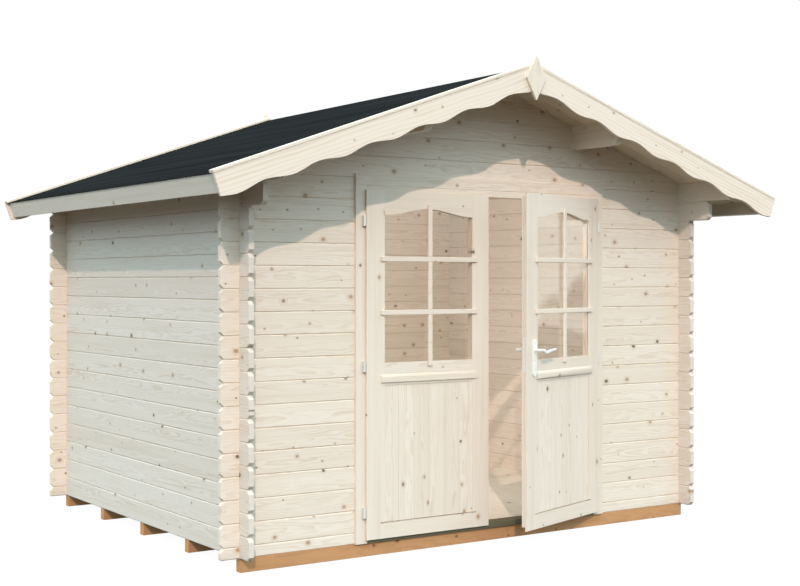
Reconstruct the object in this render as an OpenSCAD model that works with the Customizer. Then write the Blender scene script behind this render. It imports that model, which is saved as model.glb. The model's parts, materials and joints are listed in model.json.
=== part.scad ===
// Garden shed of interlocking wall logs, with a felted gable roof and a glazed double door.
// Millimetres. X runs along the front from left to right, Y from front to back, Z is up.
// The origin lies on the ground under the middle of the four walls.

/* [Walls] */
// Outer width of the walls
wall_width = 3000; // [2700:10:3600]
// Outer depth of the walls
wall_depth = 2400; // [1800:10:3600]
// Thickness of a wall log
log_thickness = 28; // [24:1:40]
// Height that one log covers
log_pitch = 114; // [100:1:130]
// Full logs in a side wall
side_courses = 17; // [15:1:20]
// How far the log ends stand out past a corner
corner_projection = 100; // [70:5:140]
// Cut across the corners of a log end
end_chamfer = 20; // [10:1:26]
// Bevel along the edges of a log
edge_bevel = 4.5; // [2:0.5:6]
// Width of the tongue on top of a log
tongue_width = 8; // [6:0.5:10]
// Height of the tongue on top of a log
tongue_height = 8; // [5:0.5:12]
// Reach of the last side log but one past the front wall
corbel_reach = 245; // [150:5:350]

/* [Floor] */
// Number of ground bearers
bearer_count = 5; // [3:1:7]
// Width of a ground bearer
bearer_width = 45; // [38:1:70]
// Height of a ground bearer
bearer_height = 70; // [45:1:100]
// Reach of a bearer past the side walls, below zero where it ends short of their faces
bearer_reach = -6; // [-20:1:20]
// Thickness of the floor boards
floor_thickness = 18; // [15:1:26]

/* [Roof] */
// Slope of the roof in degrees
roof_pitch = 19.1; // [15:0.1:24]
// Roof boards past the front wall
front_overhang = 406; // [300:2:500]
// Roof boards past the back wall
back_overhang = 104; // [104:2:200]
// Reach of the roof past the side walls
eave_overhang = 343; // [250:1:420]
// Thickness of the roof boards
deck_thickness = 18; // [15:1:22]
// Thickness of the roofing felt
felt_thickness = 3; // [2:0.5:5]
// Felt past the eave boards
felt_drip = 5; // [0:1:15]
// Depth of an eave board
eave_board_depth = 95; // [70:1:110]
// Barge boards past the face of the eave boards
barge_end = 20; // [0:1:40]
// Thickness of the eave and barge boards
trim_thickness = 18; // [14:1:22]
// Depth of a barge board at its lowest points
barge_depth = 122; // [95:1:140]
// Height of the waves on a barge board
wave_height = 20; // [10:1:40]
// Length of a wave
wave_length = 301; // [200:1:400]
// Last low point of the waves from the board's lower end
wave_end = 89; // [0:1:150]
// Width of the cap strip on a barge board
cap_width = 45; // [35:1:60]
// Thickness of the cap strip
cap_thickness = 16; // [12:1:20]
// Height of the diamond at the gable's peak
finial_height = 234; // [180:2:280]
// Width of the diamond at the gable's peak
finial_width = 128; // [90:2:150]
// Thickness of the diamond
finial_thickness = 16; // [12:1:20]
// Distance of the purlins from the ridge
purlin_offset = 616; // [500:2:900]
// Width of a purlin
purlin_width = 44; // [34:1:60]
// Height of a purlin on its inner face
purlin_height = 136; // [90:1:160]
// Cut across the lower corner of a purlin's ends
purlin_bevel = 50; // [20:1:70]

/* [Door frame] */
// Outer width of the door frame
frame_width = 1684; // [1500:2:1800]
// Width of a jamb
frame_face = 67; // [56:1:80]
// Depth of the frame from front to back
frame_depth = 70; // [60:1:90]
// How far the frame stands out from the wall
frame_stand = 16; // [10:1:30]
// How far the frame laps over the wall
frame_lap = 21; // [12:1:30]
// Height of the casing board that lies on the jambs and the head
casing_height = 60; // [45:1:80]
// Height of the head between the jambs
head_height = 36; // [30:1:60]
// Height of the threshold
threshold_height = 32; // [26:1:40]

/* [Door leaves] */
// Free space round a leaf
leaf_gap = 5; // [5:0.5:8]
// Thickness of a leaf
leaf_thickness = 40; // [38:1:45]
// How far a leaf laps over the frame
lip_lap = 13; // [8:1:18]
// Thickness of the lip that laps over the frame
lip_thickness = 12; // [10:0.5:15]
// Width of a stile
stile_width = 110; // [90:1:130]
// Height of the top rail at its ends
top_rail_height = 128; // [110:1:160]
// Rise of the arch under the top rail
arch_rise = 36; // [0:1:50]
// Height of the middle rail
lock_rail_height = 116; // [90:1:140]
// Underside of the middle rail above the foot of the leaf
lock_rail_foot = 791; // [650:1:900]
// Height of the bottom rail
bottom_rail_height = 81; // [60:1:120]
// Thickness of the panel boards
panel_thickness = 16; // [12:1:20]
// Depth of the panel behind the face of the leaf
panel_recess = 4; // [3:0.5:10]
// Height of the groove along the foot of the panel
foot_groove = 6; // [4:0.5:8]
// Depth of that groove behind the face of the leaf
foot_groove_depth = 14; // [8:0.5:17]
// Thickness of the glass
glass_thickness = 4; // [3:0.5:6]
// Depth of the glass behind the face of the leaf
glass_recess = 6; // [4:0.5:18]
// Depth of the grooves that hold glass and panel
groove_depth = 9; // [6:0.5:12]
// Height of the drip moulding
drip_height = 40; // [30:1:50]
// Depth of the drip moulding
drip_depth = 9; // [8:1:20]
// Radius of the drip moulding's rounded upper edge
drip_round = 20; // [10:1:30]
// Foot of the drip moulding above the underside of the middle rail
drip_foot = 15; // [2:1:20]
// Reach of the drip moulding over a stile
drip_lap = 25; // [10:1:40]
// Angle at which the right leaf stands ajar
ajar_angle = 19.5; // [0:0.5:60]

/* [Hinges and handle] */
// Diameter of a hinge barrel
barrel_diameter = 20; // [12:0.5:22]
// Height of a hinge
hinge_height = 54; // [40:1:80]
// Diameter of a hinge pin
pin_diameter = 8; // [5:0.5:9]
// Diameter of the rods that hold a hinge in the wood
rod_diameter = 6; // [5:0.5:7]
// Length of the rods from the hinge line
rod_length = 36; // [30:1:45]
// Heights of the hinges above the foot of the leaf
hinge_heights = [113, 863, 1612];
// Height of the lever above the foot of the leaf
lever_height = 960; // [850:1:1050]
// Distance of the lever's spindle from the leaf's edge
lever_backset = 74; // [50:1:85]
// Length of the lever from its spindle
lever_length = 117; // [90:1:140]
// Height of the lever bar where it leaves its neck
lever_bar = 15; // [12:0.5:18]
// Diameter of the lever's neck
lever_neck = 17; // [14:0.5:20]
// Height of the handle's back plate
handle_plate_height = 200; // [160:2:240]
// Width of the handle's back plate
handle_plate_width = 36; // [28:1:44]

/* [Hidden] */
$fn = 48;
// Clearance between pieces that fit into each other
fit = 0.3;
// Overlap that makes cuts pass through
over = 1;

half_width = wall_width / 2;
half_depth = wall_depth / 2;
slope_length = (half_width + eave_overhang) / cos(roof_pitch);
// Face of an eave board from the ridge, along the slope
eave_end = slope_length - barge_end;
front_face = -half_depth;
log_height = log_pitch - fit;
side_log_x = half_width - log_thickness / 2;
end_log_y = half_depth - log_thickness / 2;
log_end_x = half_width + corner_projection;
log_end_y = half_depth + corner_projection;
wall_foot = bearer_height;
// Front and back walls start with half a log, so their joints lie between those of the sides
end_wall_foot = wall_foot + log_pitch / 2;
end_courses = side_courses - 1;
gable_foot = end_wall_foot + end_courses * log_pitch;
wall_top = wall_foot + side_courses * log_pitch;

slope_tan = tan(roof_pitch);
// The roof boards lie on the inner top edge of the side walls
soffit_ridge = wall_top + (half_width - log_thickness) * slope_tan;
ridge_z = soffit_ridge + (deck_thickness + felt_thickness) / cos(roof_pitch);
deck_front = front_face - front_overhang;
deck_back = half_depth + back_overhang;
gable_courses = ceil((soffit_ridge - gable_foot) / log_pitch);
purlin_foot = soffit_ridge - purlin_offset * slope_tan - purlin_height;
finial_drop = 65;

frame_outer = frame_width / 2;
frame_inner = frame_outer - frame_face;
frame_front = front_face - frame_stand;
frame_back = frame_front + frame_depth;
frame_top = gable_foot + frame_lap;
casing_foot = frame_top - casing_height;
head_foot = casing_foot - head_height;
threshold_top = wall_foot + threshold_height;
leaf_foot = threshold_top - lip_lap;
leaf_height = head_foot + lip_lap - leaf_foot;
leaf_edge = frame_inner + lip_lap;
leaf_width = leaf_edge - leaf_gap / 2;
// Behind its lip a leaf is cut back to go into the frame
rebate = lip_lap + leaf_gap;
inner_width = leaf_width - 2 * stile_width;
glass_foot = lock_rail_foot + lock_rail_height;
glass_head = leaf_height - top_rail_height;
// The hinge line stands in front of the frame, beside the leaf's edge
hinge_stand = barrel_diameter / 2 + 1;
hinge_x = leaf_edge + hinge_stand;
hinge_y = frame_front - hinge_stand;
knuckle_height = (hinge_height - 1) / 2;
// Outer face of a leaf from the hinge line
leaf_front = hinge_stand - leaf_gap - lip_thickness;
handle_plate_thickness = 6;
handle_plate_drop = 58;
lock_plate_thickness = 2.7;
lock_plate_width = 16;
lock_plate_height = 190;
// Middle of the lock's edge plate below the spindle
lock_plate_drop = 24;
// Room between the handle's back plate and the drip moulding
plate_room = 4;
lever_stand = 56;
lever_depth = 12;
lever_tip = 9;
// Drop of the lever's curve below its neck, and rise of its tip
lever_drop = 20;
lever_rise = 4;
spindle_bore = 20;

// Cross-section of a wall log, with a tongue above and a groove below
module log_profile(height) {
    half = log_thickness / 2;
    tongue = tongue_width / 2;
    groove = tongue + fit;
    groove_top = tongue_height + 2 * fit;
    polygon([[-half, edge_bevel], [-half + edge_bevel, 0], [-groove, 0], [-groove, groove_top],
             [groove, groove_top], [groove, 0], [half - edge_bevel, 0], [half, edge_bevel],
             [half, height - edge_bevel], [half - edge_bevel, height], [tongue, height],
             [tongue, height + tongue_height], [-tongue, height + tongue_height], [-tongue, height],
             [-half + edge_bevel, height], [-half, height - edge_bevel]]);
}

// Side view of a log from a to b; an end that stands free has its corners cut
module log_outline(a, b, height, foot_cut, free_a, free_b) {
    cut_a = free_a ? end_chamfer : 0;
    cut_b = free_b ? end_chamfer : 0;
    top = height + tongue_height;
    polygon([[a, foot_cut ? cut_a : 0], [a + (foot_cut ? cut_a : 0), 0],
             [b - (foot_cut ? cut_b : 0), 0], [b, foot_cut ? cut_b : 0],
             [b, height - cut_b], [b - cut_b, height], [b - cut_b, top],
             [a + cut_a, top], [a + cut_a, height], [a, height - cut_a]]);
}

// Saddle notch where another wall crosses at x, a quarter of a log deep
module notch(x, foot, depth) {
    width = log_thickness + 2 * fit;
    translate([x - width / 2, foot - fit])
        square([width, depth + 2 * fit]);
}

// One log along X from a to b, notched above and below at each crossing
module wall_log(a, b, crossings, height = log_height, foot_cut = true, free_a = true, free_b = true,
                notch_top = true) {
    quarter = log_pitch / 4;
    intersection() {
        translate([a, 0, 0])
            rotate([90, 0, 90])
                linear_extrude(b - a)
                    log_profile(height);
        rotate([90, 0, 0])
            linear_extrude(log_thickness + 2 * over, center = true)
                difference() {
                    log_outline(a, b, height, foot_cut, free_a, free_b);
                    for (x = crossings) {
                        if (foot_cut)
                            notch(x, -over, quarter + over);
                        if (notch_top)
                            notch(x, height + fit - quarter, quarter + tongue_height + over);
                    }
                }
    }
}

// Space under the roof boards
module under_roof() {
    reach = half_width + corner_projection + over;
    rotate([90, 0, 0])
        linear_extrude(2 * (half_depth + front_overhang) + 2 * over, center = true)
            polygon([[-reach, 0], [reach, 0], [reach, soffit_ridge - reach * slope_tan - fit],
                     [0, soffit_ridge - fit], [-reach, soffit_ridge - reach * slope_tan - fit]]);
}

// Front end of side log i: the last two step forward to carry the roof
function side_front(i) =
    i == side_courses - 1 ? deck_front + fit :
    i == side_courses - 2 ? front_face - corbel_reach : -log_end_y;

// Side wall standing at x, its top log bevelled to the roof
module side_wall(x) {
    intersection() {
        for (i = [0 : side_courses - 1])
            translate([x, 0, wall_foot + i * log_pitch])
                rotate([0, 0, 90])
                    wall_log(side_front(i), log_end_y, [-end_log_y, end_log_y],
                             free_a = i < side_courses - 1, notch_top = i < side_courses - 1);
        under_roof();
    }
}

// Half log and full logs of a front or back wall, from a to b
module end_wall(y, a, b, crossings, free_a, free_b) {
    translate([0, y, wall_foot])
        wall_log(a, b, crossings, log_height - log_pitch / 2, false, free_a, free_b);
    for (i = [0 : end_courses - 1])
        translate([0, y, end_wall_foot + i * log_pitch])
            wall_log(a, b, crossings, free_a = free_a, free_b = free_b);
}

// Side view of a purlin with both lower corners cut, higher than the roof, grown by some clearance
module purlin_outline(grow) {
    front = deck_front + fit - grow;
    back = deck_back - fit + grow;
    foot = purlin_foot - grow;
    top = foot + 2 * purlin_height;
    polygon([[front, foot + purlin_bevel], [front + purlin_bevel, foot], [back - purlin_bevel, foot],
             [back, foot + purlin_bevel], [back, top], [front, top]]);
}

// Both purlins, grown by some clearance
module purlin_bodies(grow) {
    for (side = [-1, 1])
        translate([side * (purlin_offset + purlin_width / 2) - purlin_width / 2 - grow, 0, 0])
            rotate([90, 0, 90])
                linear_extrude(purlin_width + 2 * grow)
                    purlin_outline(grow);
}

// Gable logs between the side walls, cut to the roof and round the purlins
module gable(y) {
    reach = half_width - log_thickness - fit;
    difference() {
        intersection() {
            for (i = [0 : gable_courses - 1])
                translate([0, y, gable_foot + i * log_pitch])
                    wall_log(-reach, reach, [], free_a = false, free_b = false);
            under_roof();
        }
        purlin_bodies(fit);
    }
}

// Ground bearers, evenly spaced from the front wall's face to the back wall's face
module floor_bearers() {
    step = (wall_depth - bearer_width) / (bearer_count - 1);
    length = wall_width + 2 * bearer_reach;
    color("peru")
        for (i = [0 : bearer_count - 1])
            translate([-length / 2, front_face + i * step, 0])
                cube([length, bearer_width, bearer_height]);
}

// Floor between the walls, cut back behind the door frame
module floor_boards() {
    width = wall_width - 2 * (log_thickness + fit);
    depth = wall_depth - 2 * (log_thickness + fit);
    frame_room = frame_outer + fit;
    color("burlywood")
        difference() {
            translate([-width / 2, -depth / 2, wall_foot])
                cube([width, depth, floor_thickness]);
            translate([-frame_room, frame_front, wall_foot - over])
                cube([2 * frame_room, frame_depth + fit, floor_thickness + 2 * over]);
        }
}

module left_wall() {
    color("wheat") side_wall(-side_log_x);
}

module right_wall() {
    color("wheat") side_wall(side_log_x);
}

module back_wall() {
    color("wheat") end_wall(end_log_y, -log_end_x, log_end_x, [-side_log_x, side_log_x], true, true);
}

module back_gable() {
    color("wheat") gable(end_log_y);
}

module front_wall_left() {
    door_end = -(frame_outer - frame_lap + fit);
    color("wheat") end_wall(-end_log_y, -log_end_x, door_end, [-side_log_x], true, false);
}

module front_wall_right() {
    color("wheat") mirror([1, 0, 0]) front_wall_left();
}

module front_gable() {
    color("wheat") gable(-end_log_y);
}

module purlins() {
    color("wheat")
        intersection() {
            purlin_bodies(0);
            under_roof();
        }
}

// Point on the right slope: along from the ridge, up square to the felt's top
function slope_point(along, up) =
    [along * cos(roof_pitch) + up * sin(roof_pitch), ridge_z - along * sin(roof_pitch) + up * cos(roof_pitch)];

// Place along the slope where the height up meets the ridge's middle plane
function ridge_along(up) = fit / 2 - up * slope_tan;

// Layer of the right slope from the ridge to an end, between two heights
module slope_layer(end, low, high, y_front, y_back) {
    translate([0, y_back, 0])
        rotate([90, 0, 0])
            linear_extrude(y_back - y_front)
                polygon([slope_point(ridge_along(high), high), slope_point(end, high),
                         slope_point(end, low), slope_point(ridge_along(low), low)]);
}

module roof_deck_right() {
    color("tan")
        slope_layer(eave_end - trim_thickness - fit, -felt_thickness - deck_thickness + fit,
                    -felt_thickness - fit, deck_front + fit, deck_back - fit);
}

module roof_deck_left() {
    color("tan") mirror([1, 0, 0]) roof_deck_right();
}

// Felt between the barge boards
module roof_felt_right() {
    color("dimgray")
        slope_layer(eave_end + felt_drip, -felt_thickness, -fit, deck_front + fit, deck_back - fit);
}

module roof_felt_left() {
    color("dimgray") mirror([1, 0, 0]) roof_felt_right();
}

// Eave board square to the slope, under the felt's edge
module eave_board_right() {
    color("wheat")
        translate([0, deck_back - fit, 0])
            rotate([90, 0, 0])
                linear_extrude(deck_back - deck_front - 2 * fit)
                    polygon([slope_point(eave_end - trim_thickness, -felt_thickness - fit),
                             slope_point(eave_end, -felt_thickness - fit),
                             slope_point(eave_end, -felt_thickness - eave_board_depth),
                             slope_point(eave_end - trim_thickness, -felt_thickness - eave_board_depth)]);
}

module eave_board_left() {
    color("wheat") mirror([1, 0, 0]) eave_board_right();
}

// Height of a barge board's wavy lower edge at a place along the slope
function wave_foot(along) =
    wave_height / 2 * (1 - cos(360 * (slope_length - wave_end - along) / wave_length)) - barge_depth;

// Barge board of the right slope, its lower edge cut in waves
module barge_outline() {
    first = ridge_along(-barge_depth);
    reach = slope_length - first;
    steps = round(12 * reach / wave_length);
    wave = [for (i = [steps : -1 : 0])
        slope_point(first + reach * i / steps, wave_foot(first + reach * i / steps))];
    polygon(concat([slope_point(ridge_along(-fit), -fit), slope_point(slope_length, -fit)], wave));
}

// Pair of barge boards with their outer face at y_front
module barge_pair(y_front) {
    for (side = [0, 1])
        mirror([side, 0, 0])
            translate([0, y_front + trim_thickness, 0])
                rotate([90, 0, 0])
                    linear_extrude(trim_thickness)
                        barge_outline();
}

module front_barge_boards() {
    color("wheat") barge_pair(deck_front - trim_thickness);
}

module back_barge_boards() {
    color("wheat") barge_pair(deck_back);
}

// Pair of cap strips over the barge boards and the edge of the felt
module cap_pair(y_front) {
    for (side = [0, 1])
        mirror([side, 0, 0])
            slope_layer(slope_length, 0, cap_thickness, y_front, y_front + cap_width);
}

module front_cap_strips() {
    color("wheat") cap_pair(deck_front - trim_thickness);
}

module back_cap_strips() {
    color("wheat") cap_pair(deck_back + trim_thickness - cap_width);
}

// Diamond over the joint of two barge boards
module finial(y_front) {
    translate([0, y_front + finial_thickness, ridge_z - finial_drop])
        rotate([90, 0, 0])
            linear_extrude(finial_thickness)
                polygon([[0, finial_height / 2], [finial_width / 2, 0],
                         [0, -finial_height / 2], [-finial_width / 2, 0]]);
}

module front_finial() {
    color("wheat") finial(deck_front - trim_thickness - finial_thickness);
}

module back_finial() {
    color("wheat") finial(deck_back + trim_thickness);
}

// Room that the wall logs take inside the door frame's grooves
module frame_slot() {
    width = log_thickness + 2 * fit;
    reach = frame_outer - frame_lap;
    for (side = [0, 1])
        mirror([side, 0, 0])
            translate([reach, front_face - fit, 0])
                cube([frame_lap + over, width, frame_top + over]);
    translate([-frame_outer - over, front_face - fit, gable_foot - fit])
        cube([2 * (frame_outer + over), width, frame_lap + fit + over]);
}

// Holes for the rods of the frame halves of the right hinges
module jamb_bores() {
    for (z = hinge_heights)
        translate([hinge_x, hinge_y, leaf_foot + z])
            frame_rod(fit);
}

module right_jamb() {
    color("wheat")
        difference() {
            translate([frame_inner, frame_front, wall_foot])
                cube([frame_face, frame_depth, casing_foot - fit - wall_foot]);
            frame_slot();
            jamb_bores();
        }
}

module left_jamb() {
    color("wheat") mirror([1, 0, 0]) right_jamb();
}

// Head between the jambs, and the casing board that lies on it and on the jambs
module door_head() {
    color("wheat") {
        translate([-frame_inner, frame_front, head_foot])
            cube([2 * frame_inner, frame_depth, head_height - fit]);
        difference() {
            translate([-frame_outer, frame_front, casing_foot])
                cube([frame_width, frame_depth, casing_height]);
            frame_slot();
        }
    }
}

module threshold() {
    color("darkkhaki")
        translate([-frame_inner, frame_front, wall_foot])
            cube([2 * frame_inner, frame_depth, threshold_height]);
}

// A whole leaf with its lip: x from the hinge edge, z from the foot, y inwards from the outer face
module leaf_blank(free_lip) {
    cube([leaf_width, lip_thickness, leaf_height]);
    translate([rebate, 0, rebate])
        cube([leaf_width - free_lip - rebate, leaf_thickness, leaf_height - 2 * rebate]);
}

// Board of a leaf, with the lip where it lies at the leaf's edge
module leaf_board(x, z, width, height, free_lip = 0) {
    intersection() {
        leaf_blank(free_lip);
        translate([x, 0, z])
            cube([width, leaf_thickness, height]);
    }
}

// Sheet held in the grooves of a leaf at a depth from its face, grown by some clearance
module leaf_sheet(foot, head, thickness, depth, grow) {
    translate([stile_width - groove_depth - grow, depth - grow, foot - groove_depth - grow])
        cube([inner_width + 2 * (groove_depth + grow), thickness + 2 * grow,
              head - foot + 2 * (groove_depth + grow)]);
}

module glass_sheet(grow) {
    leaf_sheet(glass_foot, glass_head + arch_rise, glass_thickness, glass_recess, grow);
}

module panel_sheet(grow) {
    leaf_sheet(bottom_rail_height, lock_rail_foot, panel_thickness, panel_recess, grow);
}

// Groove along the foot of the panel, as long as the drip moulding
module groove_room() {
    translate([stile_width - drip_lap, -over, bottom_rail_height - foot_groove / 2])
        cube([inner_width + 2 * drip_lap, foot_groove_depth + over, foot_groove]);
}

module leaf_panel() {
    difference() {
        panel_sheet(0);
        groove_room();
    }
}

// Both stiles, with the width of the lip on the free edge
module leaf_stiles(free_lip) {
    difference() {
        for (x = [0, leaf_width - stile_width])
            leaf_board(x, 0, stile_width, leaf_height, free_lip);
        glass_sheet(fit);
        panel_sheet(fit);
        groove_room();
        for (z = hinge_heights)
            translate([-hinge_stand, -leaf_front, z + hinge_height - knuckle_height])
                leaf_rod(fit);
    }
}

// Arch under the top rail: level at both ends, with a smooth rise to the middle
module arch() {
    steps = 24;
    curve = [for (i = [0 : steps])
        [inner_width * i / steps, arch_rise / 2 * (1 - cos(360 * i / steps))]];
    translate([stile_width, leaf_thickness + over, glass_head])
        rotate([90, 0, 0])
            linear_extrude(leaf_thickness + 2 * over)
                polygon(concat(curve, [[inner_width + over, -over], [-over, -over]]));
}

module leaf_rails() {
    difference() {
        leaf_board(stile_width, glass_head, inner_width, top_rail_height);
        arch();
        glass_sheet(fit);
    }
    difference() {
        leaf_board(stile_width, lock_rail_foot, inner_width, lock_rail_height);
        glass_sheet(fit);
        panel_sheet(fit);
    }
    difference() {
        leaf_board(stile_width, 0, inner_width, bottom_rail_height);
        panel_sheet(fit);
        groove_room();
    }
}

// Drip moulding across the middle rail, upright below and rounded off above, with its reach over the free stile
module leaf_drip(free_lap) {
    rise = sqrt(drip_depth * (2 * drip_round - drip_depth));
    upright = drip_height - rise;
    translate([stile_width - drip_lap, 0, lock_rail_foot + drip_foot])
        rotate([90, 0, 90])
            linear_extrude(inner_width + drip_lap + free_lap) {
                translate([-drip_depth, 0])
                    square([drip_depth, upright]);
                intersection() {
                    translate([drip_round - drip_depth, upright])
                        circle(r = drip_round);
                    translate([-drip_depth, upright])
                        square([drip_depth, rise]);
                }
            }
}

module knuckle() {
    cylinder(d = barrel_diameter, h = knuckle_height);
}

// Rod of a frame half, which goes back into the jamb
module frame_rod(grow) {
    translate([0, 0, knuckle_height / 2])
        rotate([-90, 0, 0])
            cylinder(d = rod_diameter + 2 * grow, h = rod_length + grow);
}

// Rod of a leaf half, which goes sideways into the lip
module leaf_rod(grow) {
    translate([barrel_diameter / 3, leaf_front + lip_thickness / 2, knuckle_height / 2])
        rotate([0, 90, 0])
            cylinder(d = rod_diameter + 2 * grow, h = rod_length - barrel_diameter / 3 + grow);
}

// Frame halves of three hinges, each with a standing pin
module hinge_pins() {
    for (z = hinge_heights)
        translate([0, 0, leaf_foot + z]) {
            knuckle();
            frame_rod(0);
            cylinder(d = pin_diameter, h = hinge_height - 3);
        }
}

// Leaf halves of three hinges, which slip over the pins
module hinge_sleeves() {
    for (z = hinge_heights)
        translate([0, 0, leaf_foot + z + hinge_height - knuckle_height])
            difference() {
                union() {
                    knuckle();
                    leaf_rod(0);
                }
                translate([0, 0, -over])
                    cylinder(d = pin_diameter + 2 * fit, h = knuckle_height - 2 + over);
            }
}

// Puts a leaf's own pieces at the left hinge line
module at_left_hinge() {
    translate([-hinge_x, hinge_y, 0])
        children();
}

// Puts a leaf's own pieces at the right hinge line, swung open
module at_right_hinge(angle) {
    translate([hinge_x, hinge_y, 0])
        rotate([0, 0, angle])
            mirror([1, 0, 0])
                children();
}

// From the hinge line to the leaf's own corner
module on_leaf() {
    translate([hinge_stand, leaf_front, leaf_foot])
        children();
}

module left_leaf_stiles() {
    color("wheat") at_left_hinge() on_leaf() leaf_stiles(0);
}

module left_leaf_rails() {
    color("wheat") at_left_hinge() on_leaf() leaf_rails();
}

module left_leaf_panel() {
    color("wheat") at_left_hinge() on_leaf() leaf_panel();
}

module left_leaf_glass() {
    color("lightblue", 0.4) at_left_hinge() on_leaf() glass_sheet(0);
}

module left_leaf_drip() {
    color("wheat") at_left_hinge() on_leaf() leaf_drip(drip_lap);
}

module left_hinge_pins() {
    color("silver") at_left_hinge() hinge_pins();
}

module left_hinge_sleeves() {
    color("silver") at_left_hinge() hinge_sleeves();
}

// Place of the lever's spindle on the outer face of the leaf
module at_spindle() {
    translate([leaf_width - lever_backset, 0, lever_height])
        rotate([-90, 0, 0])
            children();
}

// Edge plate of the lock, let into the leaf's free edge behind the lip
module lock_plate_body(grow) {
    middle = (lip_thickness + leaf_thickness) / 2;
    translate([leaf_width - lip_lap - lock_plate_thickness - grow, middle - lock_plate_width / 2 - grow,
               lever_height - lock_plate_drop - lock_plate_height / 2 - grow])
        cube([lock_plate_thickness + 2 * grow, lock_plate_width + 2 * grow, lock_plate_height + 2 * grow]);
}

module right_leaf_stiles() {
    color("wheat")
        at_right_hinge(ajar_angle) on_leaf()
            difference() {
                leaf_stiles(lip_lap);
                at_spindle()
                    translate([0, 0, -over])
                        cylinder(d = spindle_bore, h = leaf_thickness + 2 * over);
                lock_plate_body(fit);
            }
}

module right_leaf_rails() {
    color("wheat") at_right_hinge(ajar_angle) on_leaf() leaf_rails();
}

module right_leaf_panel() {
    color("wheat") at_right_hinge(ajar_angle) on_leaf() leaf_panel();
}

module right_leaf_glass() {
    color("lightblue", 0.4) at_right_hinge(ajar_angle) on_leaf() glass_sheet(0);
}

// The right leaf's drip moulding stops beside the handle's back plate
module right_leaf_drip() {
    free_lap = min(drip_lap, stile_width - lever_backset - handle_plate_width / 2 - plate_room);
    color("wheat") at_right_hinge(ajar_angle) on_leaf() leaf_drip(free_lap);
}

module right_hinge_pins() {
    color("silver") at_right_hinge(0) hinge_pins();
}

module right_hinge_sleeves() {
    color("silver") at_right_hinge(ajar_angle) hinge_sleeves();
}

// Back plate with round ends and a hole for the lever's neck at the origin
module plate_outline() {
    top = handle_plate_drop - handle_plate_width / 2;
    foot = handle_plate_drop - handle_plate_height + handle_plate_width / 2;
    difference() {
        union() {
            translate([-handle_plate_width / 2, foot])
                square([handle_plate_width, top - foot]);
            for (y = [foot, top])
                translate([0, y])
                    circle(d = handle_plate_width);
        }
        circle(d = lever_neck + 2 * fit);
    }
}

// Back plates of the handle on both faces of the leaf
module handle_plates() {
    color("gainsboro")
        at_right_hinge(ajar_angle) on_leaf()
            for (y = [0, leaf_thickness + handle_plate_thickness])
                translate([leaf_width - lever_backset, y, lever_height])
                    rotate([90, 0, 0])
                        linear_extrude(handle_plate_thickness)
                            plate_outline();
}

module lock_plate() {
    color("silver") at_right_hinge(ajar_angle) on_leaf() lock_plate_body(0);
}

// Middle line of a lever, a cubic curve from the neck (t = 0) to the tip (t = 1)
function lever_line(t) =
    [-lever_length * (0.5 * t * (1 - t) * (1 - t) + 1.5 * t * t * (1 - t) + t * t * t),
     -3 * lever_drop * t * (1 - t) * (1 - t) + lever_rise * t * t];

// Side view of a lever, thinner towards its tip, with both ends rounded
module lever_outline() {
    steps = 20;
    function half(t) = lever_bar / 2 + (lever_tip - lever_bar) / 2 * t;
    upper = [for (i = [0 : steps]) lever_line(i / steps) + [0, half(i / steps)]];
    lower = [for (i = [steps : -1 : 0]) lever_line(i / steps) - [0, half(i / steps)]];
    polygon(concat(upper, lower));
    circle(d = lever_neck);
    translate(lever_line(1))
        circle(d = lever_tip);
}

// Levers on both faces, joined by their spindle
module lever_handles() {
    color("gainsboro")
        at_right_hinge(ajar_angle) on_leaf() {
            at_spindle()
                translate([0, 0, -lever_stand])
                    cylinder(d = lever_neck, h = leaf_thickness + 2 * lever_stand);
            for (y = [-lever_stand, leaf_thickness + lever_stand + lever_depth])
                translate([leaf_width - lever_backset, y, lever_height])
                    rotate([90, 0, 0])
                        linear_extrude(lever_depth)
                            lever_outline();
        }
}

floor_bearers();
floor_boards();
left_wall();
right_wall();
back_wall();
back_gable();
front_wall_left();
front_wall_right();
front_gable();
purlins();
roof_deck_left();
roof_deck_right();
roof_felt_left();
roof_felt_right();
eave_board_left();
eave_board_right();
front_barge_boards();
back_barge_boards();
front_cap_strips();
back_cap_strips();
front_finial();
back_finial();
left_jamb();
right_jamb();
door_head();
threshold();
left_leaf_stiles();
left_leaf_rails();
left_leaf_panel();
left_leaf_glass();
left_leaf_drip();
left_hinge_pins();
left_hinge_sleeves();
right_leaf_stiles();
right_leaf_rails();
right_leaf_panel();
right_leaf_glass();
right_leaf_drip();
right_hinge_pins();
right_hinge_sleeves();
handle_plates();
lock_plate();
lever_handles();
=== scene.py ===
"""Looks of a log-walled garden shed: boards, glazing bars, screws, materials, light and camera.

Metres, in the part's own frame: X along the front, Y from the door to the back wall, Z up.
"""

import json
import math

import bmesh
import bpy
from mathutils import Matrix, Vector


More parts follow.
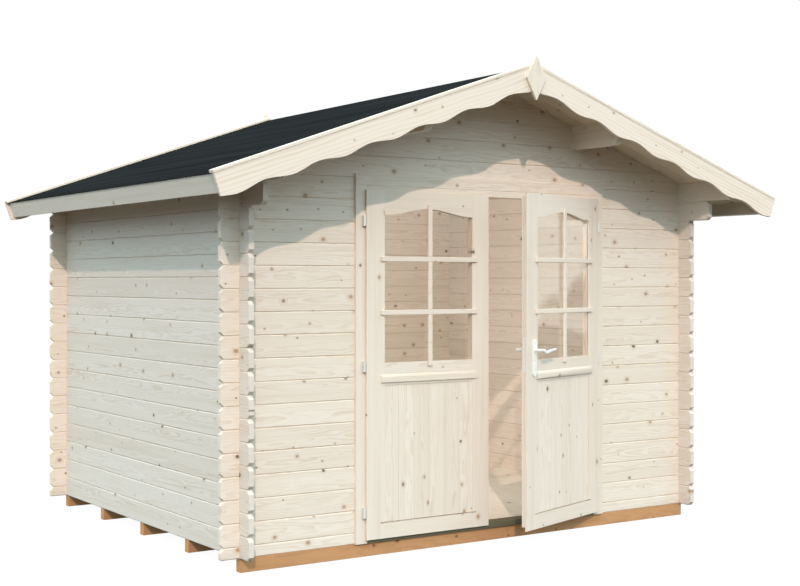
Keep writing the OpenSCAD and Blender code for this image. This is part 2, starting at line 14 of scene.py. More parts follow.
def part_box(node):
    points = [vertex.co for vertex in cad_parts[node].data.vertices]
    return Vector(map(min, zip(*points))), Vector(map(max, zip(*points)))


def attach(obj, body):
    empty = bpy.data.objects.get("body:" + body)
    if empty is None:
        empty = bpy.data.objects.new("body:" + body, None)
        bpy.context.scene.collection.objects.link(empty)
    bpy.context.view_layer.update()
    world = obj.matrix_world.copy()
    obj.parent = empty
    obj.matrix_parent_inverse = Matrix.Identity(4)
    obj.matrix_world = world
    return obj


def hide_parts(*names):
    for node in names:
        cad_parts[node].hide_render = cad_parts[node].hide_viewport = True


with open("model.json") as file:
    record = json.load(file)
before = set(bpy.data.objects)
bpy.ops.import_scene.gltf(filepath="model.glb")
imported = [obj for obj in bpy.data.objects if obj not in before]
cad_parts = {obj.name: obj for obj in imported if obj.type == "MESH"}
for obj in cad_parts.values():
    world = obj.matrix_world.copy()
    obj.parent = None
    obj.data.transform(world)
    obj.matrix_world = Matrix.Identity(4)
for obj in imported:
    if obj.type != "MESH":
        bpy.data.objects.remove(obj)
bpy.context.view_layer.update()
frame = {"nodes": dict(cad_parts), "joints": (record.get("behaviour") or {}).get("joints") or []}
nodes = frame["nodes"]

X = Vector((1, 0, 0))
Y = Vector((0, 1, 0))
Z = Vector((0, 0, 1))

# Sizes that the part's own model gives
ROOF_PITCH = math.radians(19.1)
AJAR_ANGLE = math.radians(19.5)
LOG_PITCH = 0.114
STILE_WIDTH = 0.110
LEAF_WIDTH = 0.7855
LEAF_THICKNESS = 0.040
INNER_WIDTH = LEAF_WIDTH - 2 * STILE_WIDTH
LOCK_RAIL_TOP = 0.907
GLASS_HEAD = 1.708
PANEL_FOOT = 0.0723
PANEL_HEAD = 0.800
PANEL_RECESS = 0.004
PANEL_THICKNESS = 0.016
FOOT_GROOVE_HEAD = 0.084
FOOT_GROOVE_DEPTH = 0.014
GROOVE_DEPTH = 0.009
LEVER_HEIGHT = 0.960
LEVER_BACKSET = 0.074
PLATE_THICKNESS = 0.006
CASING_HEIGHT = 0.060
FRAME_PLAY = 0.0003

# Boards, bars and screws that are added here
FLOOR_BOARD = 0.100
ROOF_BOARD = 0.097
PANEL_BOARD = 0.095
PANEL_SPAN = INNER_WIDTH + 2 * GROOVE_DEPTH
PANEL_COUNT = round(PANEL_SPAN / PANEL_BOARD)
PANEL_STEP = PANEL_SPAN / PANEL_COUNT
BOARD_GAP = 0.0008
BAR_WIDTH = 0.026
BAR_PROUD = 0.011
BAR_LAP = 0.025
BAR_HEIGHTS = (1.167, 1.444)
SCREW_ABOVE = 0.034
SCREW_BELOW = 0.084
SCREW_RADIUS = 0.0045
SCREW_RISE = 0.0015
SCREW_SIDES = 16

# Widths of softened edges, the angle from which an edge counts as sharp, and how near points count as one
PANEL_EASED = 0.001
FLOOR_EASED = 0.0015
LEAF_EASED = 0.0015
TRIM_EASED = 0.002
CAP_EASED = 0.003
BAR_EASED = 0.003
ROOF_EASED = 0.003
LEVER_EASED = 0.004
SHARP_ANGLE = math.radians(40)
WELD_REACH = 0.00002
SAME_POINT = 0.0005

SLOPE_RIGHT = Vector((math.cos(ROOF_PITCH), 0, -math.sin(ROOF_PITCH)))
SLOPE_LEFT = Vector((-SLOPE_RIGHT.x, 0, SLOPE_RIGHT.z))
SLOPE_UP = Vector((math.sin(ROOF_PITCH), 0, math.cos(ROOF_PITCH)))


class Tree:
    """Adds shader nodes with short calls. A value is a socket, a number or a tuple."""

    def __init__(self, owner):
        owner.use_nodes = True
        self.nodes = owner.node_tree.nodes
        self.links = owner.node_tree.links

    def put(self, socket, value):
        if isinstance(value, bpy.types.NodeSocket):
            self.links.new(value, socket)
        else:
            socket.default_value = value

    def add(self, kind, settings, values):
        node = self.nodes.new("ShaderNode" + kind)
        for key, value in settings.items():
            setattr(node, key, value)
        for key, value in values.items():
            self.put(node.inputs[key], value)
        return node

    def math(self, operation, *values):
        return self.add("Math", {"operation": operation}, dict(enumerate(values))).outputs[0]

    def plus(self, *values):
        total = values[0]
        for value in values[1:]:
            total = self.math("ADD", total, value)
        return total

    def minus(self, a, b):
        return self.math("SUBTRACT", a, b)

    def times(self, a, b):
        return self.math("MULTIPLY", a, b)

    def dot(self, place, direction):
        values = {0: place, 1: tuple(direction)}
        return self.add("VectorMath", {"operation": "DOT_PRODUCT"}, values).outputs["Value"]

    def join(self, x, y, z):
        return self.add("CombineXYZ", {}, {0: x, 1: y, 2: z}).outputs[0]

    def split(self, vector):
        return self.add("SeparateXYZ", {}, {0: vector}).outputs

    def stretch(self, u, v, w, along, across):
        """Place on a board with its length and its section scaled."""
        return self.join(self.times(u, along), self.times(v, across), self.times(w, across))

    def ramp(self, value, low, high, to_low=0.0, to_high=1.0):
        values = {"Value": value, "From Min": low, "From Max": high, "To Min": to_low, "To Max": to_high}
        return self.add("MapRange", {"interpolation_type": "SMOOTHSTEP"}, values).outputs["Result"]

    def noise(self, place, scale, detail=2.0, roughness=0.5):
        values = {"Vector": place, "Scale": scale, "Detail": detail, "Roughness": roughness}
        return self.add("TexNoise", {}, values).outputs["Fac"]

    def wobble(self, place, scale, reach, detail=2.0):
        """Noise about zero, reach wide."""
        return self.times(self.minus(self.noise(place, scale, detail), 0.5), reach)

    def mix(self, factor, a, b, blend="MIX"):
        node = self.add("Mix", {"data_type": "RGBA", "blend_type": blend}, {0: factor, 6: a, 7: b})
        return node.outputs[2]

    def bump(self, shader, height, strength, distance):
        values = {"Height": height, "Strength": strength, "Distance": distance}
        self.put(shader.inputs["Normal"], self.add("Bump", {}, values).outputs["Normal"])

    def place(self):
        return self.add("TexCoord", {}, {}).outputs["Object"]

    def mirrored_place(self):
        """Place with X counted from the middle to both sides."""
        x, y, z = self.split(self.place())
        return self.join(self.math("ABSOLUTE", x), y, z)


def new_material(name):
    """A material, its tree and its shader node."""
    material = bpy.data.materials.new(name)
    tree = Tree(material)
    return material, tree, tree.nodes["Principled BSDF"]


def rgb(r, g, b):
    return (r, g, b, 1.0)


# Woods: early wood, late wood, live knots and dead knots
SPRUCE = (
    rgb(0.83, 0.723, 0.616),
    rgb(0.66, 0.509, 0.369),
    rgb(0.44, 0.27, 0.15),
    rgb(0.10, 0.075, 0.055),
)
# Paler copy: the barge boards' own paler tone, and on the right leaf painted light that makes the ajar leaf
# as bright as the sunlit front
PALE_AND_LIT_SPRUCE = (
    rgb(0.868, 0.744, 0.638),
    rgb(0.694, 0.533, 0.392),
    rgb(0.46, 0.28, 0.16),
    rgb(0.11, 0.08, 0.06),
)
# Darker, greyer copy of the spruce for the side walls and eave boards: painted shade for the slanting sun and
# cool sky light on the sides
SHADED_SIDE_SPRUCE = (
    rgb(0.76, 0.675, 0.593),
    rgb(0.60, 0.473, 0.353),
    rgb(0.42, 0.27, 0.15),
    rgb(0.10, 0.075, 0.055),
)
FLOOR_SPRUCE = (
    rgb(0.81, 0.775, 0.69),
    rgb(0.66, 0.58, 0.46),
    rgb(0.42, 0.26, 0.15),
    rgb(0.10, 0.07, 0.05),
)
INNER_SPRUCE = (
    rgb(0.78, 0.66, 0.51),
    rgb(0.64, 0.49, 0.33),
    rgb(0.42, 0.25, 0.13),
    rgb(0.10, 0.07, 0.05),
)
IMPREGNATED = (
    rgb(0.56, 0.29, 0.13),
    rgb(0.42, 0.20, 0.085),
    rgb(0.25, 0.11, 0.05),
    rgb(0.12, 0.06, 0.03),
)
OLIVE = (
    rgb(0.14, 0.125, 0.075),
    rgb(0.10, 0.088, 0.05),
    rgb(0.07, 0.05, 0.03),
    rgb(0.05, 0.04, 0.03),
)
# Dark brown of the painted shadow under the cap strips
SHADE_UNDER_CAP = rgb(0.25, 0.17, 0.11)

# A pitch wider than any piece makes the piece one board
ONE_BOARD = 9.0

# Random shifts that make each board differ, and the number that sets the boards at +X apart
SHIFT_ALONG = 60.0
SHIFT_ACROSS = 9.0
SIDE_NUMBER = 57.0

# Knots: a cell for each, their radius, their ragged edge, and the scale that lengthens cells along the grain
KNOT_CELL = 0.145
KNOT_LEAST = 0.0032
KNOT_MOST = 0.0105
KNOT_RAGGED = 0.005
KNOT_STRETCH = 0.8

# Growth rings: the pith's place below and beside a board, how far rings sway, and how far a knot pushes them
PITH_DEPTH = 0.030
PITH_DEEPER = 0.055
PITH_ASIDE = 0.07
RING_SWAY = 0.045
RING_PUSH = 0.007


def board_place(tree, node, along, across, pitch, origin, seed, mirrored):
    """Place along, across and through a board, and two random numbers that are the board's own."""
    if mirrored:
        place = tree.mirrored_place()
        x = tree.split(tree.place())[0]
        side = tree.times(tree.math("GREATER_THAN", x, 0.0), SIDE_NUMBER)
    else:
        place = tree.place()
        side = 0.0
    low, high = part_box(node)
    normal = along.cross(across)
    u = tree.dot(place, along)
    v = tree.minus(tree.dot(place, across), origin)
    w = tree.minus(tree.dot(place, normal), normal.dot((low + high) / 2))
    board = tree.math("FLOOR", tree.math("DIVIDE", v, pitch))
    number = tree.plus(board, side, seed)
    random = tree.add("TexWhiteNoise", {"noise_dimensions": "1D"}, {"W": number}).outputs["Color"]
    first, second, third = tree.split(random)
    v = tree.minus(v, tree.times(tree.plus(board, 0.5), pitch))
    u = tree.plus(u, tree.times(first, SHIFT_ALONG))
    return u, v, w, second, third


def knots_on(tree, u, v, w, second, share):
    """Core, halo and kind of the knots: one in each cell, a share of them kept, each with its own size."""
    cell_place = tree.join(tree.times(u, KNOT_STRETCH), tree.plus(v, tree.times(second, SHIFT_ACROSS)), 0.0)
    values = {"Vector": cell_place, "Scale": 1 / KNOT_CELL}
    cells = tree.add("TexVoronoi", {"voronoi_dimensions": "2D"}, values).outputs
    chance, size, kind = tree.split(cells["Color"])
    radius = tree.ramp(size, 0.1, 1.1, KNOT_LEAST, KNOT_MOST)
    ragged = tree.wobble(tree.join(u, v, w), 110.0, KNOT_RAGGED)
    ratio = tree.math("DIVIDE", tree.plus(tree.times(cells["Distance"], KNOT_CELL), ragged), radius)
    kept = tree.math("LESS_THAN", chance, share)
    core = tree.times(tree.ramp(ratio, 1.2, 0.75), kept)
    halo = tree.times(tree.ramp(ratio, 3.0, 0.9), kept)
    return core, halo, kind


def late_wood(tree, u, v, w, second, third, halo, spacing):
    """Late wood of the growth rings, which circle the pith, sway along the board and bend round knots."""
    sway = tree.wobble(tree.join(tree.times(u, 0.9), tree.times(v, 5.0), 0.0), 2.2, RING_SWAY, 3.0)
    aside = tree.minus(v, tree.times(tree.minus(second, 0.5), PITH_ASIDE))
    below = tree.plus(w, tree.times(third, PITH_DEEPER), PITH_DEPTH)
    ring = tree.math("SQRT", tree.plus(tree.times(aside, aside), tree.times(below, below)))
    ring = tree.plus(ring, sway, tree.times(halo, RING_PUSH))
    ring = tree.math("FRACT", tree.math("DIVIDE", ring, spacing))
    return tree.times(tree.ramp(ring, 0.25, 0.85), tree.ramp(ring, 1.0, 0.9))


def wood(name, node, along, across, pitch=ONE_BOARD, origin=-ONE_BOARD / 2, seed=0.0, colours=SPRUCE,
         knots=0.4, spacing=0.0055, gloss=0.3, mirrored=False):
    """Boards side by side: growth rings round a pith, fine fibres, knots and a tint of its own for each.

    along and across are the directions of the grain and of the boards' width; a new board starts every
    pitch from origin, and the boards' middle lies level with the node's. knots is the share of knots that
    are kept, spacing the distance between rings, and gloss the strength of the shine. A mirrored material
    serves boards at -X and at +X.
    """
    material, tree, shader = new_material(name)
    u, v, w, second, third = board_place(tree, node, along, across, pitch, origin, seed, mirrored)
    core, halo, kind = knots_on(tree, u, v, w, second, knots)
    late = late_wood(tree, u, v, w, second, third, halo, spacing)
    fibre = tree.noise(tree.stretch(u, v, w, 5.0, 420.0), 1.0, 3.0, 0.6)
    streak = tree.noise(tree.stretch(u, v, w, 1.4, 38.0), 1.0, 2.0)

    early, dark, live, dead = colours
    colour = tree.mix(tree.times(late, tree.ramp(streak, 0.3, 0.75, 0.18, 0.58)), early, dark)
    colour = tree.mix(tree.ramp(fibre, 0.45, 0.75, 0.0, 0.22), colour, dark)
    colour = tree.mix(tree.ramp(streak, 0.55, 0.85, 0.0, 0.30), colour, dark)
    tint = [tree.ramp(third, 0.0, 1.0, least, 1.015) for least in (0.97, 0.96, 0.945)]
    colour = tree.mix(1.0, colour, tree.join(*tint), "MULTIPLY")
    colour = tree.mix(tree.times(halo, 0.26), colour, live)
    knot = tree.mix(tree.ramp(kind, 0.15, 0.55), dead, live)
    colour = tree.mix(tree.times(core, 0.85), colour, knot)
    tree.put(shader.inputs["Base Color"], colour)
    tree.put(shader.inputs["Roughness"], tree.ramp(fibre, 0.3, 0.7, 0.52, 0.68))
    shader.inputs["Specular IOR Level"].default_value = gloss
    height = tree.plus(tree.times(late, 0.5), fibre)
    tree.bump(shader, tree.minus(height, core), 0.25, 0.0006)
    return material


def paint_shade_under_cap(material, node):
    """Paints shade along sloping boards' upper edge, under the cap strip: a thin dark shadow line and a faint
    darker band below it.
    """
    tree = Tree(material)
    base = tree.nodes["Principled BSDF"].inputs["Base Color"]
    height = tree.dot(tree.mirrored_place(), SLOPE_UP)
    drop = tree.minus(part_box(node)[1].z * SLOPE_UP.z, height)
    # Painted shadow: a thin dark line just under the cap strip, then a faint darker band below it
    line = tree.ramp(drop, 0.001, 0.008, 0.30, 0.0)
    band = tree.ramp(drop, 0.004, 0.024, 0.06, 0.0)
    tree.put(base, tree.mix(tree.plus(line, band), base.links[0].from_socket, SHADE_UNDER_CAP))


def felt_material(name, down):
    """Mineral roofing felt: dark grains of mixed tone, with faint lengthwise bands from the roll."""
    black = rgb(0.013, 0.0138, 0.0140)
    grey = rgb(0.0212, 0.0214, 0.0214)
    pale_grain = rgb(0.045, 0.045, 0.045)
    material, tree, shader = new_material(name)
    place = tree.place()
    run = tree.times(tree.dot(place, Y), 0.5)
    fall = tree.times(tree.dot(place, down), 11.0)
    bands = tree.noise(tree.join(run, fall, 0.0), 1.0, 3.0)
    grains = tree.noise(place, 900.0, 2.0, 0.7)
    colour = tree.mix(tree.ramp(bands, 0.3, 0.7), black, grey)
    colour = tree.mix(tree.ramp(grains, 0.55, 0.8, 0.0, 0.5), colour, pale_grain)
    tree.put(shader.inputs["Base Color"], colour)
    tree.put(shader.inputs["Roughness"], tree.ramp(grains, 0.3, 0.7, 0.95, 0.8))
    shader.inputs["Specular IOR Level"].default_value = 0.0
    tree.bump(shader, grains, 0.5, 0.0012)
    return material


def metal(name, colour, roughness, metallic):
    """Metal with fine brush marks and a little tarnish."""
    material, tree, shader = new_material(name)
    place = tree.place()
    x, y, z = tree.split(place)
    brush = tree.noise(tree.join(tree.times(x, 900.0), tree.times(y, 900.0), tree.times(z, 40.0)), 1.0)
    tarnish = tree.ramp(tree.noise(place, 60.0, 3.0), 0.45, 0.8, 0.0, 0.5)
    dull = rgb(*(0.72 * part for part in colour[:3]))
    tree.put(shader.inputs["Base Color"], tree.mix(tarnish, colour, dull))
    tree.put(shader.inputs["Roughness"], tree.ramp(brush, 0.2, 0.8, roughness - 0.08, roughness + 0.08))
    shader.inputs["Metallic"].default_value = metallic
    tree.bump(shader, brush, 0.1, 0.0002)
    return material


def glass_material(name):
    """Clear window glass: a faint tint, and mirroring that grows towards a flat view."""
    material, tree, shader = new_material(name)
    dust = tree.noise(tree.place(), 25.0, 4.0)
    shader.inputs["Base Color"].default_value = rgb(0.96, 0.97, 0.97)
    shader.inputs["Metallic"].default_value = 1.0
    tree.put(shader.inputs["Roughness"], tree.ramp(dust, 0.4, 0.9, 0.01, 0.04))
    clear = tree.add("BsdfTransparent", {}, {"Color": rgb(0.975, 0.970, 0.960)})
    facing = tree.add("LayerWeight", {}, {"Blend": 0.5}).outputs["Facing"]
    mirror = tree.plus(tree.times(tree.math("POWER", facing, 5.0), 0.95), 0.045)
    both = tree.add("MixShader", {}, {0: mirror, 1: clear.outputs[0], 2: shader.outputs[0]})
    tree.put(tree.nodes["Material Output"].inputs["Surface"], both.outputs[0])
    return material


def dress(material, names):
    """Gives CAD nodes a material."""
    for name in names:
        mesh = nodes[name].data
        mesh.materials.clear()
        mesh.materials.append(material)


def add_bevel(obj, width, segments):
    bevel = obj.modifiers.new("bevel", "BEVEL")
    bevel.width = width
    bevel.segments = segments
    bevel.limit_method = "ANGLE"
    bevel.angle_limit = SHARP_ANGLE


def ease_edges(names, width, segments=2):
    """Rounds the sharp edges of CAD nodes a little, as planed and sanded wood has them."""
    for name in names:
        weld = nodes[name].modifiers.new("weld", "WELD")
        weld.merge_threshold = WELD_REACH
        add_bevel(nodes[name], width, segments)


def prism(bm, outline, reach):
    """Closed solid from a flat outline and the vector that it is drawn out along."""
    near = [bm.verts.new(point) for point in outline]
    far = [bm.verts.new(point + reach) for point in outline]
    bm.faces.new(near)
    bm.faces.new(reversed(far))
    count = len(outline)
    for i in range(count):
        after = (i + 1) % count
        bm.faces.new((near[i], far[i], far[after], near[after]))


def slab(bm, corner, a, b, c):
    """Box from a corner and three edge vectors."""
    prism(bm, [corner, corner + a, corner + a + b, corner + b], c)


def add_to_scene(name, data):
    obj = bpy.data.objects.new(name, data)
    bpy.context.scene.collection.objects.link(obj)
    return obj


def finish_piece(name, bm, material, body, edge=0.0, segments=2, replaced=()):
    """Makes a piece from a mesh, with softened edges, that moves with a body."""
    bmesh.ops.recalc_face_normals(bm, faces=bm.faces)
    mesh = bpy.data.meshes.new(name)
    bm.to_mesh(mesh)
    bm.free()
    mesh.materials.append(material)
    obj = add_to_scene(name, mesh)
    if edge:
        add_bevel(obj, edge, segments)
    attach(obj, body)
    if replaced:
        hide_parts(*replaced)


def front_section(node):
    """Corners of a node's front face, in order round it."""
    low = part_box(node)[0].y
    corners = []
    for vertex in nodes[node].data.vertices:
        flat = Vector((vertex.co.x, low, vertex.co.z))
        is_new = all((flat - known).length > SAME_POINT for known in corners)
        if vertex.co.y < low + SAME_POINT and is_new:
            corners.append(flat)
    middle = sum(corners, Vector()) / len(corners)
    return sorted(corners, key=lambda p: math.atan2(p.z - middle.z, p.x - middle.x))


def joint_place(name):
    return Vector(next(joint["pos_m"] for joint in frame["joints"] if joint["name"] == name))


def leaf_frame(side):
    """Matrix from a leaf's own corner to the part: x from its hinge edge, y inwards, z up."""
    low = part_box("left_leaf_stiles")[0]
    if side == "left":
        return Matrix.Translation(low)
    hinge = joint_place("right_leaf_hinge")
    to_corner = low - joint_place("left_leaf_hinge")
    swing = Matrix.Translation((hinge.x, hinge.y, 0)) @ Matrix.Rotation(AJAR_ANGLE, 4, "Z")
    return swing @ Matrix.Scale(-1, 4, X) @ Matrix.Translation((to_corner.x, to_corner.y, low.z))


def floor_boards(material):
    """Floor boards from front to back. Those behind the door start at its frame."""
    low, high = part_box("floor_boards")
    frame_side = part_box("right_jamb")[1].x + FRAME_PLAY
    frame_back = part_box("right_jamb")[1].y + FRAME_PLAY
    thick = Vector((0, 0, high.z - low.z))
    spans = (
        (low.x, -frame_side, low.y),
        (-frame_side, frame_side, frame_back),
        (frame_side, high.x, low.y),
    )
    bm = bmesh.new()
    for start, end, front in spans:
        count = round((end - start) / FLOOR_BOARD)
        step = (end - start) / count
        for i in range(count):
            corner = Vector((start + i * step + BOARD_GAP / 2, front, low.z))
            slab(bm, corner, X * (step - BOARD_GAP), Y * (high.y - front), thick)
    finish_piece("floor_planks", bm, material, "shed", FLOOR_EASED, replaced=["floor_boards"])


def roof_boards(side, material):
    """Boards of one slope, side by side from the front to the back."""
    node = "roof_deck_" + side
    low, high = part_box(node)
    section = front_section(node)
    count = round((high.y - low.y) / ROOF_BOARD)
    step = (high.y - low.y) / count
    bm = bmesh.new()
    for i in range(count):
        outline = [corner + Y * (i * step + BOARD_GAP / 2) for corner in section]
        prism(bm, outline, Y * (step - BOARD_GAP))
    finish_piece("roof_planks_" + side, bm, material, "shed", ROOF_EASED, replaced=[node])


def panel_boards(side, material):
    """Upright boards in a leaf's lower panel, each stepped back at its foot, which leaves a groove there."""
    place = leaf_frame(side)
    turn = place.to_3x3()
    back = PANEL_RECESS + PANEL_THICKNESS
    profile = (
        (PANEL_RECESS, FOOT_GROOVE_HEAD),
        (PANEL_RECESS, PANEL_HEAD),
        (back, PANEL_HEAD),
        (back, PANEL_FOOT),
        (FOOT_GROOVE_DEPTH, PANEL_FOOT),
        (FOOT_GROOVE_DEPTH, FOOT_GROOVE_HEAD),
    )
    bm = bmesh.new()
    for i in range(PANEL_COUNT):
        x = STILE_WIDTH - GROOVE_DEPTH + i * PANEL_STEP + BOARD_GAP / 2
        outline = [place @ Vector((x, y, z)) for y, z in profile]
        prism(bm, outline, turn @ X * (PANEL_STEP - BOARD_GAP))
    leaf = side + "_leaf"
    finish_piece(side + "_panel_boards", bm, material, leaf, PANEL_EASED,
                 replaced=[leaf + "_panel"])


def glazing_bars(side, material):
    """Grid of bars over the glass: two across, and an upright that they part into three lengths."""
    place = leaf_frame(side)
    turn = place.to_3x3()
    bm = bmesh.new()

    def bar(x, z, width, height):
        corner = place @ Vector((x, -BAR_PROUD, z))
        slab(bm, corner, turn @ X * width, turn @ Y * BAR_PROUD, Z * height)

    for z in BAR_HEIGHTS:
        bar(STILE_WIDTH - BAR_LAP, z - BAR_WIDTH / 2, INNER_WIDTH + 2 * BAR_LAP, BAR_WIDTH)
    stops = [LOCK_RAIL_TOP - BAR_LAP, *BAR_HEIGHTS, GLASS_HEAD + BAR_LAP]
    for i in range(3):
        foot = stops[i] + (BAR_WIDTH / 2 if i else 0)
        head = stops[i + 1] - (BAR_WIDTH / 2 if i < 2 else 0)
        bar((LEAF_WIDTH - BAR_WIDTH) / 2, foot, BAR_WIDTH, head - foot)
    finish_piece(side + "_glazing_bars", bm, material, side + "_leaf", BAR_EASED, segments=3)


def screw_head(bm, place):
    """Round screw head: rings of a flat dome on a local -Y face."""
    rings = ((1.0, 0.0), (0.95, 0.45), (0.7, 0.85), (0.35, 1.0))
    previous = None
    for share, lift in rings:
        loop = []
        for k in range(SCREW_SIDES):
            angle = 2 * math.pi * k / SCREW_SIDES
            x = SCREW_RADIUS * share * math.cos(angle)
            z = SCREW_RADIUS * share * math.sin(angle)
            loop.append(bm.verts.new(place @ Vector((x, -SCREW_RISE * lift, z))))
        if previous is None:
            bm.faces.new(loop)
        else:
            for k in range(SCREW_SIDES):
                after = (k + 1) % SCREW_SIDES
                bm.faces.new((previous[k], previous[after], loop[after], loop[k]))
        previous = loop
    bm.faces.new(previous)


def plate_screws(material):
    """Screws of the handle's back plates, on both faces of the right leaf."""
    place = leaf_frame("right")
    x = LEAF_WIDTH - LEVER_BACKSET
    half_turn = Matrix.Rotation(math.pi, 4, "Z")
    bm = bmesh.new()
    for z in (LEVER_HEIGHT + SCREW_ABOVE, LEVER_HEIGHT - SCREW_BELOW):
        outer = Matrix.Translation((x, -PLATE_THICKNESS, z))
        inner = Matrix.Translation((x, LEAF_THICKNESS + PLATE_THICKNESS, z)) @ half_turn
        screw_head(bm, place @ outer)
        screw_head(bm, place @ inner)
    finish_piece("plate_screws", bm, material, "right_leaf")


def front_and_back():
    """Log walls with their gables, barge boards, cap strips and the diamonds at the peaks."""
    end_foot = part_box("left_wall")[0].z + LOG_PITCH / 2
    walls = {"front": ["front_wall_left", "front_wall_right"], "back": ["back_wall"]}
    for end, seed in (("front", 3.0), ("back", 211.0)):
        logs = wood(end + "_logs", walls[end][0], X, Z, LOG_PITCH, end_foot, seed, knots=0.8)
        dress(logs, [*walls[end], end + "_gable"])
        barge = end + "_barge_boards"
        barge_wood = wood(end + "_barge_wood", barge, SLOPE_RIGHT, SLOPE_UP, seed=seed + 37,
                          colours=PALE_AND_LIT_SPRUCE, spacing=0.020, mirrored=True)
        # Painted shadow under the cap strips, along the barge boards' top edge
        paint_shade_under_cap(barge_wood, barge)
        dress(barge_wood, [barge])
        caps = end + "_cap_strips"
        cap_wood = wood(end + "_cap_wood", caps, SLOPE_RIGHT, SLOPE_UP, seed=seed + 43, knots=0.3,
                        spacing=0.014, gloss=0.0, mirrored=True)
        dress(cap_wood, [caps])
        finial = end + "_finial"
        dress(wood(finial + "_wood", finial, Z, X, seed=seed + 47, knots=0.2), [finial])


def left_and_right():
    """Log walls, eave boards and the door's jambs."""
    side_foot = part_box("left_wall")[0].z
    for side, seed in (("left", 407.0), ("right", 613.0)):
        wall = side + "_wall"
        # The side walls and eave boards take the darker, greyer copy: painted shade
        dress(wood(side + "_logs", wall, Y, Z, LOG_PITCH, side_foot, seed, SHADED_SIDE_SPRUCE), [wall])
        eave = "eave_board_" + side
        dress(wood(side + "_eave_wood", eave, Y, Z, seed=seed + 31, colours=SHADED_SIDE_SPRUCE), [eave])
        jamb = side + "_jamb"
        dress(wood(jamb + "_wood", jamb, Z, X, seed=seed + 53), [jamb])


def beams_and_door_frame():
    """Bearers, purlins, the door's head with its casing, and the threshold."""
    bearers = wood("bearer_wood", "floor_bearers", X, Z, seed=17.0, colours=IMPREGNATED)
    dress(bearers, ["floor_bearers"])
    purlin_pitch = 1.0
    dress(wood("purlin_wood", "purlins", Y, X, purlin_pitch, -purlin_pitch, 29.0, mirrored=True), ["purlins"])
    casing_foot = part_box("door_head")[1].z - CASING_HEIGHT
    dress(wood("head_wood", "door_head", X, Z, CASING_HEIGHT, casing_foot, 59.0), ["door_head"])
    dress(wood("threshold_wood", "threshold", X, Z, seed=61.0, colours=OLIVE, knots=0.2), ["threshold"])


def door_leaf(side, angle, seed, tone):
    """Wood and glass of a leaf that stands at an angle from X.

    The stiles' boards change at the leaf's middle, and the rails' boards change between the rails.
    """
    # tone holds the leaf's wood colours; the right leaf's paler set is painted light
    stile_pitch = 1.0
    rail_pitch = 0.6
    leaf = side + "_leaf_"
    direction = Vector((math.cos(angle), math.sin(angle), 0))
    low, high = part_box(leaf + "stiles")
    across = direction.dot((low + high) / 2)
    stiles = wood(side + "_stile_wood", leaf + "stiles", Z, direction, stile_pitch, across - stile_pitch,
                  seed, tone)
    dress(stiles, [leaf + "stiles"])
    rails = wood(side + "_rail_wood", leaf + "stiles", direction, Z, rail_pitch, low.z, seed + 5, tone)
    dress(rails, [leaf + "rails", leaf + "drip"])
    panel_edge = across - INNER_WIDTH / 2 - GROOVE_DEPTH
    boards = wood(side + "_panel_wood", leaf + "panel", Z, direction, PANEL_STEP, panel_edge, seed + 9, tone)
    panel_boards(side, boards)
    bars = wood(side + "_bar_wood", leaf + "stiles", direction, Z, seed=seed + 13, colours=tone, knots=0.1)
    glazing_bars(side, bars)
    dress(glass_material(side + "_window_glass"), [leaf + "glass"])


def roof():
    """Boards and felt of both slopes."""
    for side, down in (("left", SLOPE_LEFT), ("right", SLOPE_RIGHT)):
        deck = "roof_deck_" + side
        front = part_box(deck)[0].y
        roof_boards(side, wood("roof_wood_" + side, deck, down, Y, ROOF_BOARD, front, 131.0, INNER_SPRUCE))
        dress(felt_material("felt_" + side, down), ["roof_felt_" + side])


def metalwork():
    """Hinges, lock plate, handle and screws."""
    steel = metal("hinge_steel", rgb(0.74, 0.70, 0.64), roughness=0.34, metallic=0.55)
    dress(steel, ["left_hinge_pins", "left_hinge_sleeves", "right_hinge_pins", "right_hinge_sleeves"])
    lock = metal("lock_steel", rgb(0.84, 0.83, 0.80), roughness=0.45, metallic=0.4)
    dress(lock, ["lock_plate"])
    handle = metal("handle_metal", rgb(0.90, 0.87, 0.82), roughness=0.36, metallic=0.15)
    dress(handle, ["handle_plates", "lever_handles"])
    plate_screws(steel)


def soften_edges():
    """Eased edges of the nodes that keep the part's own shapes."""
    ease_edges(["floor_bearers", "purlins", "left_jamb", "right_jamb", "door_head", "threshold"], TRIM_EASED)
    ease_edges(["eave_board_left", "eave_board_right"], TRIM_EASED)
    for end in ("front", "back"):
        ease_edges([end + "_barge_boards", end + "_finial"], TRIM_EASED)
        ease_edges([end + "_cap_strips"], CAP_EASED)
    for side in ("left", "right"):
        ease_edges([side + "_leaf_stiles", side + "_leaf_rails", side + "_leaf_drip"], LEAF_EASED)
    ease_edges(["handle_plates"], TRIM_EASED, segments=3)
    ease_edges(["lever_handles"], LEVER_EASED, segments=4)


def build():
    front_and_back()
    left_and_right()
    beams_and_door_frame()
    door_leaf("left", 0.0, 71.0, SPRUCE)
    # Right leaf in the paler copy: painted light, as bright as the sunlit front
    door_leaf("right", AJAR_ANGLE, 89.0, PALE_AND_LIT_SPRUCE)
    floor_boards(wood("floor_wood", "floor_boards", Y, X, FLOOR_BOARD, 0.0, 101.0, FLOOR_SPRUCE))
    roof()
    metalwork()
    soften_edges()


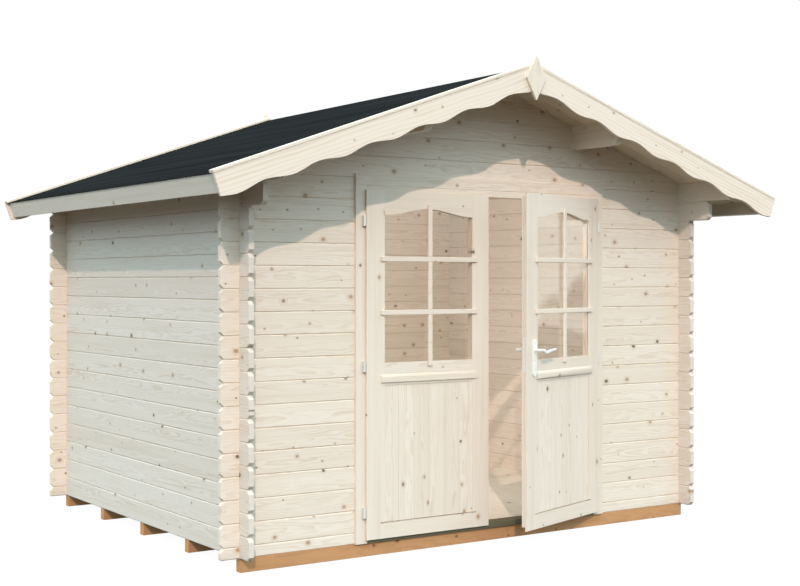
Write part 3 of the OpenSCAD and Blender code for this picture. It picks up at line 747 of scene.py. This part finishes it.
def pale_ground():
    """Pale floor that glows by itself, so that it looks even. It lights no surface, and none mirrors it."""
    reach = 60.0
    paint, tree, shader = new_material("floor_paint")
    patches = tree.noise(tree.place(), 0.6, 2.0)
    colour = tree.mix(patches, rgb(0.05, 0.05, 0.05), rgb(0.06, 0.06, 0.06))
    tree.put(shader.inputs["Base Color"], colour)
    shader.inputs["Roughness"].default_value = 0.9
    shader.inputs["Specular IOR Level"].default_value = 0.0
    shader.inputs["Emission Color"].default_value = rgb(1.0, 1.0, 1.0)
    shader.inputs["Emission Strength"].default_value = 0.96
    bm = bmesh.new()
    corners = [Vector((x * reach, y * reach, 0.0)) for x, y in ((-1, -1), (1, -1), (1, 1), (-1, 1))]
    bm.faces.new([bm.verts.new(corner) for corner in corners])
    mesh = bpy.data.meshes.new("ground")
    bm.to_mesh(mesh)
    bm.free()
    mesh.materials.append(paint)
    ground = add_to_scene("ground", mesh)
    ground.visible_diffuse = False
    ground.visible_glossy = False


def sunlight():
    """Warm sun from the front left."""
    direction = Vector((0.445, 0.730, -0.519))
    sun = bpy.data.lights.new("sun", "SUN")
    sun.energy = 1.70
    sun.color = (1.0, 0.82, 0.74)
    sun.angle = math.radians(0.9)
    lamp = add_to_scene("sun", sun)
    lamp.rotation_euler = direction.to_track_quat("-Z", "Y").to_euler()


def inside_light():
    """Soft light inside, from the front left towards the right wall and the back wall."""
    fill = bpy.data.lights.new("fill", "AREA")
    fill.shape = "RECTANGLE"
    fill.size = 1.2
    fill.size_y = 1.2
    fill.energy = 29.5
    fill.color = (0.86, 0.94, 1.0)
    glow = add_to_scene("fill", fill)
    glow.location = (-0.6, -0.75, 1.45)
    glow.rotation_euler = (math.radians(90), 0.0, math.radians(-30))
    glow.visible_camera = False
    glow.visible_glossy = False


def sky_light():
    """Sky that lights the shade and is white behind the object.

    Only what is mirrored shows the rest: lit ground below the horizon, and far to the right, for the panes,
    clouds over a sloping line of trees with a pale strip under them.
    """
    below_horizon = rgb(0.06, 0.06, 0.05)
    above = rgb(1.41, 1.79, 1.95)
    lit_ground = rgb(1.0, 1.15, 1.15)
    white = rgb(1.0, 1.0, 1.0)
    cloud_strength = 1.8
    cloud_blue = 0.92
    tree_slope = -0.95
    tree_start = 0.196
    leafy = 0.06
    world = bpy.data.worlds.new("sky")
    bpy.context.scene.world = world
    tree = Tree(world)
    direction = tree.add("TexCoord", {}, {}).outputs["Generated"]
    x, y, z = tree.split(direction)
    path = tree.add("LightPath", {}, {}).outputs
    mirrored = path["Is Glossy Ray"]

    puffs = tree.wobble(direction, 45.0, leafy, 4.0)
    over_trees = tree.plus(z, puffs, tree.times(tree.plus(y, tree_start), tree_slope))
    clouds = tree.plus(tree.ramp(over_trees, -0.036, -0.014), tree.ramp(z, 0.034, 0.042, 0.0, 0.2))
    under_trees = tree.plus(z, tree.times(puffs, 0.4))
    strip_foot = tree.ramp(under_trees, -0.037, -0.031)
    strip_head = tree.ramp(under_trees, -0.021, -0.026, 0.0, 0.7)
    bright = tree.times(tree.plus(clouds, tree.times(strip_foot, strip_head)), cloud_strength)
    at_right = tree.times(tree.ramp(x, 0.75, 0.92), tree.ramp(z, -0.085, -0.065))

    sky = tree.mix(tree.ramp(z, -0.06, 0.20), below_horizon, above)
    sky = tree.mix(tree.times(tree.ramp(z, -0.065, -0.085), mirrored), sky, lit_ground)
    view = tree.join(bright, bright, tree.times(bright, cloud_blue))
    sky = tree.mix(tree.times(at_right, mirrored), sky, view)
    sky = tree.mix(path["Is Camera Ray"], sky, white)
    tree.put(tree.nodes["Background"].inputs["Color"], sky)


def camera():
    """Camera as solved from the photograph."""
    lens = bpy.data.cameras.new("camera")
    lens.sensor_width = 36.0
    lens.lens = 61.359
    lens.shift_y = -0.01552
    eye = add_to_scene("camera", lens)
    eye.location = (-4.5350, -7.1331, 1.4213)
    eye.rotation_euler = (math.radians(90), 0.0, math.radians(-33.814))
    bpy.context.scene.camera = eye


def stage():
    """Pale floor, sun from the front left, a bright sky and the camera."""
    view = bpy.context.scene.view_settings
    view.view_transform = "Standard"
    view.look = "None"
    pale_ground()
    sunlight()
    inside_light()
    sky_light()
    camera()


build()
stage()
